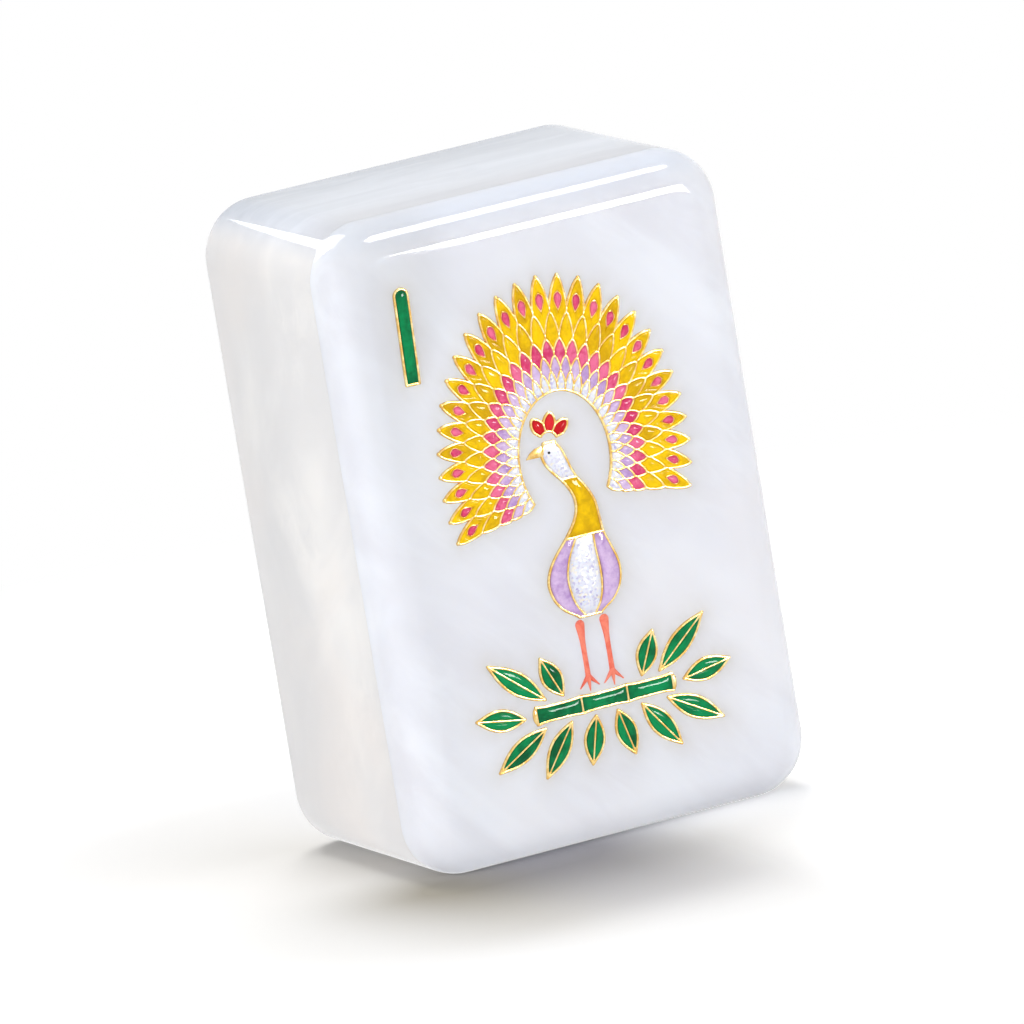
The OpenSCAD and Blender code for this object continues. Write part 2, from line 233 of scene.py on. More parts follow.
def curveAt(stops, at, slope=None):
    # Smooth curve through (place, value) stops: each stretch eases between the slopes at its ends
    place, value = np.array(stops, float).T
    slope = np.gradient(value, place) if slope is None else slope
    k = np.clip(np.searchsorted(place, at, side="right") - 1, 0, len(place) - 2)
    span = place[k + 1] - place[k]
    t = (at - place[k]) / span
    return ((1 + 2 * t) * (1 - t) ** 2 * value[k] + t * (1 - t) ** 2 * span * slope[k]
            + t ** 2 * (3 - 2 * t) * value[k + 1] + t ** 2 * (t - 1) * span * slope[k + 1])


def evenCurve(values, at):
    # The same through values one apart, with half the slope at both ends
    return curveAt(list(enumerate(values)), at, np.gradient(np.pad(values, 1, "edge"))[1:-1])


# Rings from the middle of a cell's underside, out to its rim and back to the middle of its crown
cellRings = {
    "shares": np.array([0, 1, 1, 0.95, 0.86, 0.7, 0.46, 0.22, 0]),
    "under": 2,              # rings of the underside, flat at the bed's depth
    "rimHeight": 0.045, "crown": 0.195, "power": 2.6,  # mm, mm, fullness
}


def domedCells(outline, middle, toFace=np.asarray, shrink=(1, 1), crown=cellRings["crown"],
               power=cellRings["power"], pillowed=None):
    # Closed domes over cells, outline (cells, round, 2) and middle (cells, 2) in the cell's coordinates,
    # which toFace turns into face points. A ring is the outline drawn in to the middle by its share; the
    # height rises from rim to crown by 1 - share ** power, or by pillowed, a function of the coordinates.
    shares, rimHeight = cellRings["shares"][:, None], cellRings["rimHeight"]
    local = middle[:, None, None] + shares[..., None] * (outline - middle[:, None])[:, None] * shrink
    rise = pillowed(local) if pillowed else 1 - shares ** power
    height = rimHeight + (crown - rimHeight) * np.broadcast_to(rise, local.shape[:-1])
    height[:, :cellRings["under"]] = -tile["bed"]
    return standUp(toFace(local), height), False, {
        "tone": rng.uniform(0, 1, (len(outline), 1)), "rim": np.repeat(shares, outline.shape[1])}


def fanCells(outline, middle, places, point, step, shrink, crown):
    # The same domed cell at every place of a fan, whose point(place, reach) gives face points
    return domedCells(
        np.broadcast_to(outline, (len(places), *outline.shape)), np.broadcast_to(middle, (len(places), 2)),
        lambda local: point(places[:, None, None] + local[..., 0] * step, local[..., 1]), shrink, crown)


def wireSection(crest):
    # Half-round section from its left underside over the crown to its right: half widths, and heights
    turns = np.radians([180, 150, 120, 90, 60, 30, 0])
    return (np.concatenate([[1], -np.cos(turns), [-1]]),
            np.concatenate([[-tile["bed"]], crest * np.sin(turns), [-tile["bed"]]]))


def beddedWires(paths, half, crest):
    # Half-round wires along open paths of shape (wires, points, 2): a section is set across the path at
    # every point, and shrinks round over half a width beyond each end
    ahead = np.gradient(paths, axis=1)
    ahead /= np.linalg.norm(ahead, axis=-1, keepdims=True)
    caps = np.radians([90, 60, 30])
    pad = ((0, 0), (len(caps), len(caps)))
    beyond = np.pad(np.sin(caps[::-1]), (len(caps) + paths.shape[1], 0))
    beyond = beyond - beyond[::-1]  # half widths beyond the ends
    size = np.pad(np.broadcast_to(half, paths.shape[:2]), pad, "edge")
    heading, spine = [np.pad(values, (*pad, (0, 0)), "edge") for values in (ahead, paths)]
    spine = spine + heading * (size * beyond)[..., None]
    size = size * np.sqrt(1 - beyond ** 2)
    across, rise = wireSection(crest)
    flat = spine[:, :, None] + leftOf(heading)[:, :, None] * (size[..., None] * across)[..., None]
    height = (size / size.max())[..., None] * rise
    return standUp(flat, height), False, {"tone": rng.uniform(0, 1, (len(paths), 1))}


def wireRings(outlines, half, crest):
    # Half-round wires along closed outlines of shape (wires, points, 2)
    ahead = np.roll(outlines, -1, 1) - np.roll(outlines, 1, 1)
    ahead /= np.linalg.norm(ahead, axis=-1, keepdims=True)
    across, rise = wireSection(crest)
    flat = outlines[:, :, None] + leftOf(ahead)[:, :, None] * (across * half)[:, None]
    return standUp(flat, rise), True, {}


def beads(centres, radius, crest):
    # Small domes: rings of a circle, the height following a quarter of an ellipse
    around = np.radians(np.arange(0, 360, 36))
    shares = np.array([0, 1, 1, 0.87, 0.5, 0])
    flat = centres[:, None, None] + shares[:, None, None] * (pairs(np.cos(around), np.sin(around)) * radius)
    height = crest * np.sqrt(1 - shares ** 2)
    height[:2] = -tile["bed"]
    return standUp(flat, height[:, None]), False, {"tone": rng.uniform(0, 1, (len(centres), 1))}


# Train: rows of scales and feathers round a fan

train = {
    "feathers": 27, "halfWidth": 8.6, "height": 11.6, "rise": 3.8,  # mm
    "spread": 108.0, "droop": 3.0, "evening": 3.6,  # degrees
    "root": 0.37, "shoulders": (0.41, 0.495, 0.583, 0.68, 0.825), "tips": (0.475, 0.56, 0.655, 0.8, 1.0),
    "tipPower": 1.5,
    "eyeMiddle": 0.86, "eyeWidth": 0.42, "eyeLength": 0.052, "eyeShrink": (0.86, 0.94), "eyeCrown": 0.19,
    "eyeStops": ((-1, 0), (-0.45, 0.62), (0.15, 1), (0.72, 0.72), (1, 0)),
    "shrink": ((0.9, 0.95), (0.9, 0.95), (0.92, 0.955), (0.93, 0.965), (0.94, 0.975)),
    "crowns": (0.15, 0.165, 0.18, 0.195, 0.13),  # mm, row by row from the root
    "beadRadius": 0.15, "beadCrest": 0.15,
}
halfStep = 1 / (train["feathers"] - 1)
lastRow = len(train["tips"]) - 1


def trainPoint(place, reach):
    # Face point of the fan: an ellipse of the reach, its angle evened out and drooping to the tips
    even = np.radians(90 - place * train["spread"])
    turn = even - np.radians(train["evening"]) * np.sin(2 * even)
    turn = turn - np.radians(train["droop"]) * np.cos(turn) * reach ** 2
    return pairs(train["halfWidth"] * reach * np.cos(turn),
                 train["height"] * reach * np.sin(turn) + train["rise"])


def tipLine(shoulder, tip, x):
    # Pointed end of a cell: from the shoulders at x = -1 and 1 up to the tip by 1 - |x| ** tipPower
    return shoulder + (tip - shoulder) * (1 - np.abs(x) ** train["tipPower"])


def rowFloor(row, x):
    # Floor of a row's cell: the root line, or the two tips of the row inside it
    if row == 0:
        return np.full_like(x, train["root"])
    return tipLine(train["shoulders"][row - 1], train["tips"][row - 1], 1 - np.abs(x))


def rowPlaces(row):
    # Each row inwards has one cell more than the row outside it
    count = train["feathers"] + lastRow - row
    return (np.arange(count) * 2 - (count - 1)) * halfStep


def bothSides(half):
    # Closed outline from its right half, bottom to top
    return np.concatenate([half, half[-2:0:-1] * (-1, 1)])


def cellOutline(row):
    # A cell's outline round its own middle: x is -1 to 1 across, the second number is the reach
    foot, flank = np.array([0, 0.25, 0.5, 0.78, 1]), np.array([0.92, 0.78, 0.6, 0.42, 0.26, 0.12, 0.04, 0])
    shoulder, corner = train["shoulders"][row], rowFloor(row, np.array([1.0]))
    return bothSides(np.concatenate([
        pairs(foot, rowFloor(row, foot)), pairs(1, np.array([0.5, 1]) * (shoulder - corner) + corner),
        pairs(flank, tipLine(shoulder, train["tips"][row], flank))]))


def eyeOutline(count):
    # Drop in the cell's coordinates: half widths along its length from a smooth curve
    along = np.sin(np.linspace(-np.pi / 2, np.pi / 2, count))
    half = pairs(curveAt(train["eyeStops"], along) * train["eyeWidth"],
                 train["eyeMiddle"] + along * train["eyeLength"])
    half[[0, -1], 0] = 0
    return bothSides(half)


def rowCells(row):
    outline = cellOutline(row)
    middle = (0, (outline[:, 1].min() + outline[:, 1].max()) / 2)
    return fanCells(outline, middle, rowPlaces(row), trainPoint, halfStep, train["shrink"][row],
                    train["crowns"][row])


# Long feathers: the crown runs round between the feather's edge and its eye
feather = {
    "shares": np.array([0, 0, 0.06, 0.2, 0.42, 0.66, 0.86, 0.97, 1, 1]),  # from the edge in to the eye
    "edgeHeight": 0.045, "rise": 0.11, "lean": 0.8, "fullness": 0.7, "eyeClearance": 1.1,
}


def featherCells():
    # Rings between the edge and the eye, at edgeHeight + rise * sin(pi * share ** lean) ** fullness
    outline, places, shares = cellOutline(lastRow), rowPlaces(lastRow), feather["shares"]
    middle = np.array([0, train["eyeMiddle"]])
    edge = middle + (outline - middle) * train["shrink"][lastRow]
    eye = middle + (eyeOutline((len(outline) + 2) // 2) - middle) * feather["eyeClearance"]
    local = edge + shares[:, None, None] * (eye - edge)
    height = feather["edgeHeight"] + feather["rise"] * (
        np.sin(np.pi * shares ** feather["lean"]) ** feather["fullness"])
    height[[0, -1]] = -tile["bed"]
    face = trainPoint(places[:, None, None] + local[..., 0] * halfStep, local[..., 1])
    return standUp(face, height[:, None]), True, {
        "tone": rng.uniform(0, 1, (len(places), 1)), "rim": np.repeat(np.abs(1 - 2 * shares), len(outline))}


def eyeCells():
    return fanCells(eyeOutline(9), (0, train["eyeMiddle"]), rowPlaces(lastRow), trainPoint, halfStep,
                    train["eyeShrink"], train["eyeCrown"])


def eyeWires():
    places, outline = rowPlaces(lastRow), eyeOutline(13)
    rings = trainPoint(places[:, None] + outline[:, 0] * halfStep, outline[:, 1])
    return wireRings(rings, tile["fineWireWidth"] / 2, tile["wireCrest"])


def fanWires(places, point, step, start, shoulder, tip, count):
    # The pointed ends of a fan's cells, and the seams between them from start up to their shoulders
    across = np.sin(np.linspace(-np.pi / 2, np.pi / 2, 17))
    seams = np.append(places - step, places[-1] + step)
    return [point(places[:, None] + across * step, tipLine(shoulder, tip, across)),
            point(seams[:, None], np.linspace(start, shoulder, count))]


def trainWires():
    wires = []
    for row in range(lastRow + 1):
        start = train["root"] if row == 0 else train["tips"][row - 1]
        wires += fanWires(rowPlaces(row), trainPoint, halfStep, start, train["shoulders"][row],
                          train["tips"][row], 3)
    end = rowPlaces(0)[-1] + halfStep
    return wires + [trainPoint(np.linspace(-end, end, 90)[None], train["root"])]


# Bird: half widths and sideways places of its body at even heights, from vent to crown

bird = {
    "height": 11.4, "halfWidth": 2.5, "swing": 0.9, "foot": -6.46,  # mm
    "girths": (0.3, 0.66, 0.87, 0.97, 1, 0.95, 0.84, 0.69, 0.53, 0.41, 0.32, 0.27, 0.23, 0.21, 0.21, 0.26,
               0.3, 0.28, 0.16),
    "swings": (0, 0, 0, 0, 0, 0.04, 0.12, 0.28, 0.5, 0.74, 0.92, 0.98, 0.84, 0.5, 0.04, -0.42, -0.75,
               -0.95, -1.02),
    "breast": 0.46, "neck": 8, "head": 14, "top": 18,  # half width, and heights of the cells' limits
    "bodyPillow": (2.4, 5), "headPillow": (2.4, 4), "headCrown": 0.165,
    "breastShrink": (0.93, 0.97), "wingShrink": (0.86, 0.97), "neckShrink": (0.9, 0.97),
    "headShrink": (0.88, 0.95),
    "beakLength": 1.1, "beak": ((0.42, 0.5), (-0.35, 0.42), (-0.72, 0.2), (-1, -0.12), (-0.5, -0.14),
                                (0.4, -0.16)), "beakPower": 2,
    "eyeRadius": 0.14, "eyePlace": -0.3, "eyeCrest": 0.2, "eyeLine": 1.0,  # eye and beak below the top
    "crestLength": 1.8, "crestFeathers": 3, "crestSpread": 42.0, "crestLean": 12.0,
    "crestRoot": 0.34, "crestShoulder": 0.62, "crestMiddle": 0.64, "crestShrink": (0.86, 0.88),
    "crestCrown": 0.18,
}
crestPlaces = np.linspace(-1, 1, bird["crestFeathers"])
crestStep = 1 / (bird["crestFeathers"] - 1)


def birdPoint(x, station):
    # Face point at a station of the bird's height, x half widths from its middle line
    girth, swing = evenCurve(bird["girths"], station), evenCurve(bird["swings"], station)
    return pairs(bird["swing"] * swing + x * bird["halfWidth"] * girth,
                 bird["foot"] + bird["height"] * station / bird["top"])


def squareOutline(left, right, foot, top, across, up):
    # Anticlockwise points of a rectangle
    x, y = np.linspace(left, right, across + 1), np.linspace(foot, top, up + 1)
    return np.concatenate([pairs(x[:-1], foot), pairs(right, y[:-1]), pairs(x[:0:-1], top),
                           pairs(left, y[:0:-1])])


def pillow(left, right, foot, top, powers):
    # Height share over a rectangle: falls off to its sides and to its ends
    def share(local):
        x = (2 * local[..., 0] - left - right) / (right - left)
        y = (2 * local[..., 1] - foot - top) / (top - foot)
        return (1 - np.minimum(np.abs(x), 1) ** powers[0]) * (1 - np.minimum(np.abs(y), 1) ** powers[1])
    return share


def birdCell(left, right, foot, top, shrink, crown=cellRings["crown"], powers=bird["bodyPillow"]):
    outline = squareOutline(left, right, foot, top, 10, 26)[None]
    middle = np.array([[(left + right) / 2, (foot + top) / 2]])
    return domedCells(outline, middle, lambda local: birdPoint(local[..., 0], local[..., 1]), shrink,
                      crown, pillowed=pillow(left, right, foot, top, powers))


def birdWires():
    stations, wings = np.linspace(0, bird["top"], 73), np.linspace(0, bird["neck"], 33)
    lines = [birdPoint(side, stations)[None] for side in (-1, 1)]
    lines += [birdPoint(side, wings)[None] for side in (-bird["breast"], bird["breast"])]
    return lines + [birdPoint(np.linspace(-1, 1, 9), station)[None]
                    for station in (0, bird["neck"], bird["head"], bird["top"])]


def crestPoint(place, reach):
    # Face point of the small fan above the crown
    turn = np.radians(90 - bird["crestLean"] - place * bird["crestSpread"])
    root = birdPoint(0, bird["top"]) + (0, halfWire)
    return root + bird["crestLength"] * pairs(reach * np.cos(turn), reach * np.sin(turn))


def crestCells():
    across = np.array([1, 0.85, 0.65, 0.45, 0.25, 0.1, 0])
    root, shoulder = bird["crestRoot"], bird["crestShoulder"]
    outline = bothSides(np.concatenate([
        pairs([0, 0.5, 1], root), [[1, (root + shoulder) / 2]], pairs(across, tipLine(shoulder, 1, across))]))
    return fanCells(outline, (0, bird["crestMiddle"]), crestPlaces, crestPoint, crestStep,
                    bird["crestShrink"], bird["crestCrown"])


def crestWires():
    end = crestPlaces[-1] + crestStep
    root = crestPoint(np.linspace(-end, end, 21)[None], bird["crestRoot"])
    return [*fanWires(crestPlaces, crestPoint, crestStep, bird["crestRoot"], bird["crestShoulder"], 1, 5),
            root]


# Legs: tapering strokes of enamel from hip to ankle, and three toes

legs = {
    "length": 3.6, "width": 0.36, "space": 1.7, "toes": 1.1,  # mm
    "halfWidths": ((0, 0.9), (0.3, 0.56), (0.6, 0.48), (1, 0.52)),   # shares of the width down the leg
    "hipInset": 0.9,         # the round hip starts this share of its half width lower
    "toeTips": ((-0.62, 0.66), (0, 0.9), (0.62, 0.66)), "toeReach": 0.97, "toeRoot": 0.16, "toeEnd": 0.03,
    "crown": 0.19, "toeCrown": 0.94,  # mm, share of it
}


def legStrokes(side):
    hip, middle = bird["foot"] - halfWire - clearance, side * legs["space"] / 2
    down, along = np.linspace(0, 1, 15), np.linspace(0, legs["toeReach"], 9)
    half = curveAt(legs["halfWidths"], down) * legs["width"]
    inset = half[0] * legs["hipInset"]
    spine = pairs(middle, hip - inset - down * (legs["length"] - inset))
    tips = np.array(legs["toeTips"]) * legs["toes"] * (1, -1)
    toes = np.array([middle, hip - legs["length"]]) + along[:, None] * tips[:, None]
    toeHalf = legs["toes"] * (legs["toeRoot"] + (legs["toeEnd"] - legs["toeRoot"]) * along)
    return [beddedWires(spine[None], half, legs["crown"]),
            beddedWires(toes, toeHalf, legs["crown"] * legs["toeCrown"])]


# Bamboo: a cane of lengths between nodes, and leaves of two halves beside a midrib

bamboo = {
    "length": 9.6, "width": 1.1, "lengths": 3,  # mm, mm, count
    "girth": ((0, 1), (0.12, 0.9), (0.5, 0.84), (0.88, 0.9), (1, 1)),
    "caneShrink": (0.962, 0.88), "canePillow": (9, 2.2),
    "capReach": 0.24, "capHalf": 0.46, "capFlat": 0.4, "capBend": 0.7,  # shares of the width, roundness
    "capOverlap": 0.02, "capMiddle": 0.1, "capCrown": 0.14, "capPower": 3,  # mm, mm, mm, fullness
    "leafLength": 4.8, "leafWidth": 1.3,
    "leafGirth": ((0, 0), (0.2, 0.62), (0.45, 1), (0.7, 0.8), (1, 0)),
    "leafMiddle": (0.47, 0.42), "leafInset": 0.075, "leafCrown": 0.19, "leafPower": 2.2,
    # Leaves: place along the cane, side of it (0 beyond its end), direction in degrees, share of the length
    "sprays": ((1, 0, 10, 0.7), (0.84, 1, 40, 0.96), (0.9, -1, -30, 0.86), (0.52, -1, -54, 0.8),
               (0.16, -1, -76, 0.64), (0.58, 1, 66, 0.6)),
}
longestToe = max(reach for across, reach in legs["toeTips"])
caneMiddle = (bird["foot"] - halfWire - clearance - legs["length"] - longestToe * legs["toes"] - clearance
              - halfWire - bamboo["width"] / 2)  # the bird stands on the cane
canePitch = bamboo["length"] / bamboo["lengths"]


def canePoint(along, up):
    # Along counts the cane's lengths, up runs from -1 at its lower edge to 1
    girth = curveAt(bamboo["girth"], along - np.floor(np.minimum(along, bamboo["lengths"] - 1e-6)))
    return pairs(along * canePitch - bamboo["length"] / 2, up * girth * bamboo["width"] / 2 + caneMiddle)


def caneCells():
    return [domedCells(
        squareOutline(i, i + 1, -1, 1, 24, 8)[None], np.array([[i + 0.5, 0]]),
        lambda local: canePoint(local[..., 0], local[..., 1]), bamboo["caneShrink"],
        pillowed=pillow(i, i + 1, -1, 1, bamboo["canePillow"])) for i in range(bamboo["lengths"])]


def caneWires():
    along = np.linspace(0, bamboo["lengths"], 61)
    lines = [canePoint(along, up)[None] for up in (-1, 1)]
    return lines + [canePoint(float(i), np.linspace(-1, 1, 9))[None] for i in range(bamboo["lengths"] + 1)]


def caneCaps():
    # Gold D-shaped caps beyond the end nodes
    turn = np.linspace(-np.pi / 2, np.pi / 2, 13)
    bulge = pairs(bamboo["capReach"] * np.cos(turn) ** bamboo["capBend"], np.sin(turn) * bamboo["capHalf"])
    flat = pairs(-bamboo["capOverlap"], np.linspace(1, -1, 5) * bamboo["capFlat"] * bamboo["width"])
    right = np.concatenate([bulge * bamboo["width"], flat]) + (bamboo["length"] / 2, 0)
    outline = np.stack([right, right[::-1] * (-1, 1)]) + (0, caneMiddle)
    middle = pairs(np.array([1, -1]) * (bamboo["length"] / 2 + bamboo["capMiddle"]), caneMiddle)
    return domedCells(outline, middle, crown=bamboo["capCrown"], power=bamboo["capPower"])


def leafFrame(spray):
    # Root of a leaf, above, below or beyond the end of the cane, and the directions along and across it
    along, side, turn, share = spray
    start = halfWire + clearance
    beyond = 0 if side else bamboo["capReach"] * bamboo["width"] + 3 * start
    root = np.array([along * bamboo["length"] / 2 + beyond,
                     caneMiddle + side * (bamboo["width"] / 2 + 2 * start)])
    ahead = np.array([np.cos(np.radians(turn)), np.sin(np.radians(turn))])
    return root, ahead * share * bamboo["leafLength"], leftOf(ahead) * bamboo["leafWidth"] / 2


def leafEdge(side, along):
    return pairs(along, side * np.maximum(curveAt(bamboo["leafGirth"], along), 0))


def leafParts(mirror):
    # Wires and cells of the leaves at the right, mirror 1, or at the left, mirror -1
    along = (1 - np.cos(np.linspace(0, np.pi, 19))) / 2
    leafX, leafY = bamboo["leafMiddle"]
    wires, outlines, middles = [], [], []
    for spray in bamboo["sprays"]:
        root, ahead, over = leafFrame(spray)

        def toFace(local):
            return (root + local[..., :1] * ahead + local[..., 1:] * over) * (mirror, 1)

        midrib = toFace(leafEdge(0, along))
        for side in (-1, 1):
            edge = toFace(leafEdge(side, along))
            wires.append(edge)
            outline = np.concatenate([edge, midrib[-2:0:-1]])
            outlines.append(outline if side * mirror < 0 else outline[::-1])
            middles.append(toFace(np.array([leafX, side * leafY])))
        wires.append(midrib)
    outlines, middles = np.array(outlines), np.array(middles)
    toMiddle = outlines - middles[:, None]
    reach = np.linalg.norm(toMiddle, axis=-1, keepdims=True)
    inwards = middles[:, None] + toMiddle * (1 - bamboo["leafInset"] / reach)
    return np.array(wires), domedCells(inwards, middles, crown=bamboo["leafCrown"],
                                       power=bamboo["leafPower"])


# Rank bar

rankBar = {
    "width": 0.9, "length": 6.1, "fromSide": 4.7, "fromTop": 7.4, "lean": 1.5,  # mm, degrees
    "shrink": (0.84, 0.985), "sidePower": 2.4, "footPower": 14,
}
barHalf, barRise = rankBar["width"] / 2, rankBar["length"] / 2


def barPoint(local):
    # A point of the upright bar, leaned to the right and set near the tile's corner
    lean = np.radians(-rankBar["lean"])
    over = np.array([np.cos(lean), np.sin(lean)])
    corner = (rankBar["fromSide"] - tile["width"] / 2, tile["height"] / 2 - rankBar["fromTop"])
    return local[..., :1] * over + local[..., 1:] * leftOf(over) + corner


def barOutline():
    # Up the right side, over the round top and down the left side
    turn = np.radians(np.linspace(0, 180, 19))
    up = np.linspace(-barRise, barRise - barHalf, 13)[:-1]
    return np.concatenate([pairs(barHalf, up), pairs(barHalf * np.cos(turn), barRise - barHalf
                                                     + barHalf * np.sin(turn)), pairs(-barHalf, up[::-1])])


def barCell():
    foot = pairs(np.linspace(-barHalf, barHalf, 7)[1:-1], -barRise)
    outline = np.concatenate([barOutline(), foot])[None]

    def share(local):
        # Falls off towards the sides, the foot and the round top
        x, up = np.abs(local[..., 0]) / barHalf, (local[..., 1] + barRise) / (2 * barRise)
        top = np.hypot(local[..., 0], np.maximum(local[..., 1] - barRise + barHalf, 0)) / barHalf
        return ((1 - np.minimum(np.maximum(x, top), 1) ** rankBar["sidePower"])
                * (1 - (1 - np.clip(up, 0, 1)) ** rankBar["footPower"]))

    return domedCells(outline, np.zeros((1, 2)), barPoint, rankBar["shrink"], pillowed=share)


def barWires():
    foot = pairs(np.linspace(-barHalf, barHalf, 5), -barRise)
    return [barPoint(barOutline())[None], barPoint(foot)[None]]


# Pearl layers: a profile carried round the tile's outline

layers = {
    "sides": (24, 36), "bends": 19,  # steps along the ends and the sides, points round a corner
    "nearEdge": 0.1,         # mm from the rounded edges to the rings that keep the sides flat
    "faceSpreads": np.linspace(0, 1, 70)[::-1][1:], "seamSpreads": np.array([0, 0.5, 0.9, 0.99]),
    "blockSpreads": np.array([0.99, 0.9, 0.5, 0]), "backSpreads": np.array([0, 0.3, 0.6, 0.85, 0.99]),
    "inlayReach": 0.9,       # mm over which the painted shade beside the wires fades
    "edgeFade": (1.9, 0.5, 0.8),  # mm from the back: where the painted shade on the back edges ends, its fade, its rise
}


def tileRing(inset, spread):
    # Front view of the tile drawn in by inset, with round corners; spread shrinks it to its middle
    radius = tile["cornerRadius"]
    halfX, halfZ = tile["width"] / 2 - radius, tile["height"] / 2 - radius
    corners = np.array([(1, 1), (-1, 1), (-1, -1), (1, -1)]) * (halfX, halfZ)
    bends = np.linspace(0, 1, layers["bends"])
    anchors, turns = [], []
    for k, corner in enumerate(corners):
        along = np.linspace(0, 1, layers["sides"][k % 2] + 1)[1:-1]
        share = np.append(np.zeros(len(bends)), along)[:, None]  # of the way to the next corner
        anchors.append(corner + share * (corners[(k + 1) % 4] - corner))
        turns.append(np.pi / 2 * (k + np.append(bends, np.ones(len(along)))))
    anchors, turns = np.concatenate(anchors), np.concatenate(turns)
    inset, spread = inset[..., None, None], spread[..., None, None]
    return (anchors + pairs(np.cos(turns), np.sin(turns)) * (radius - inset)) * spread


def layerRings(front, back, frontEdge, backEdge, frontSpreads, backSpreads):
    # Rings from the middle of the layer's back over its rounded edges to the middle of its front. An edge
    # is a quarter circle, (1 - sin) of its radius inwards and (1 - cos) deep; two rings keep the side flat.
    bend = np.radians(np.linspace(0, 90, 13))
    sideEnds = np.array([back - backEdge, front + frontEdge])
    close = min(layers["nearEdge"], (sideEnds[0] - sideEnds[1]) / 3)
    insets = np.concatenate([
        np.full(len(backSpreads), backEdge), backEdge * (1 - np.sin(bend)), (0, 0),
        frontEdge * (1 - np.cos(bend)), np.full(len(frontSpreads), frontEdge)])
    depths = np.concatenate([
        np.full(len(backSpreads), back), back - backEdge * (1 - np.cos(bend)), sideEnds + (-close, close),
        front + frontEdge * (1 - np.sin(bend)), np.full(len(frontSpreads), front)])
    spreads = np.concatenate([backSpreads, np.ones(2 * len(bend) + 2), frontSpreads])
    return standUp(tileRing(insets, spreads), -depths[:, None])


# Finishes

pearlLooks = {
    "face": {"dark": (226, 227, 235), "light": (238, 241, 249), "blush": (234, 232, 236),
             "cool": (216, 222, 234), "streak": (0.70, 0.10, -0.70), "stretch": 0.28, "scale": 0.15},
    "back": {"dark": (222, 221, 222), "light": (241, 239, 237), "blush": (240, 231, 225),
             "cool": (208, 215, 228), "streak": (0.60, 0.45, -0.66), "stretch": 0.3, "scale": 0.12},
}
# Painted shade over the clouds, and a warm blush: colour, strength and where they rise in mm,
# y towards the back, z up from the foot
pearlShades = {
    "blush": 0.5, "cool": 0.9, "top": (tile["height"] - 2.2, tile["height"] - 0.2),
    "seam": {"colour": (188, 188, 194), "strength": 0.7, "y": (faceY + tile["faceLayer"], faceY + 9.0)},
    "farTop": {"colour": (166, 172, 183), "strength": 0.65, "y": (-2.0, 9.0), "grain": 0.35},
    "farSides": {"colour": (196, 196, 198), "strength": 0.45, "y": (-4.0, 7.0)},
    "foot": {"colour": (212, 207, 205), "strength": 0.25, "z": (2.0, 24.0)},
    "backEdge": {"top": (160, 163, 174), "sides": (208, 208, 210), "strength": 0.4, "dull": 0.95},
    "left": {"colour": (196, 198, 202), "strength": 0.38, "x": (-13.6, -12.2), "end": (-11.5, -7.5),
             "wider": 3.5, "widerFrom": (31.0, 36.0), "low": 0.4, "full": (17.0, 29.0)},
    "inlay": {"colour": (202, 197, 187), "strength": 0.42},
}


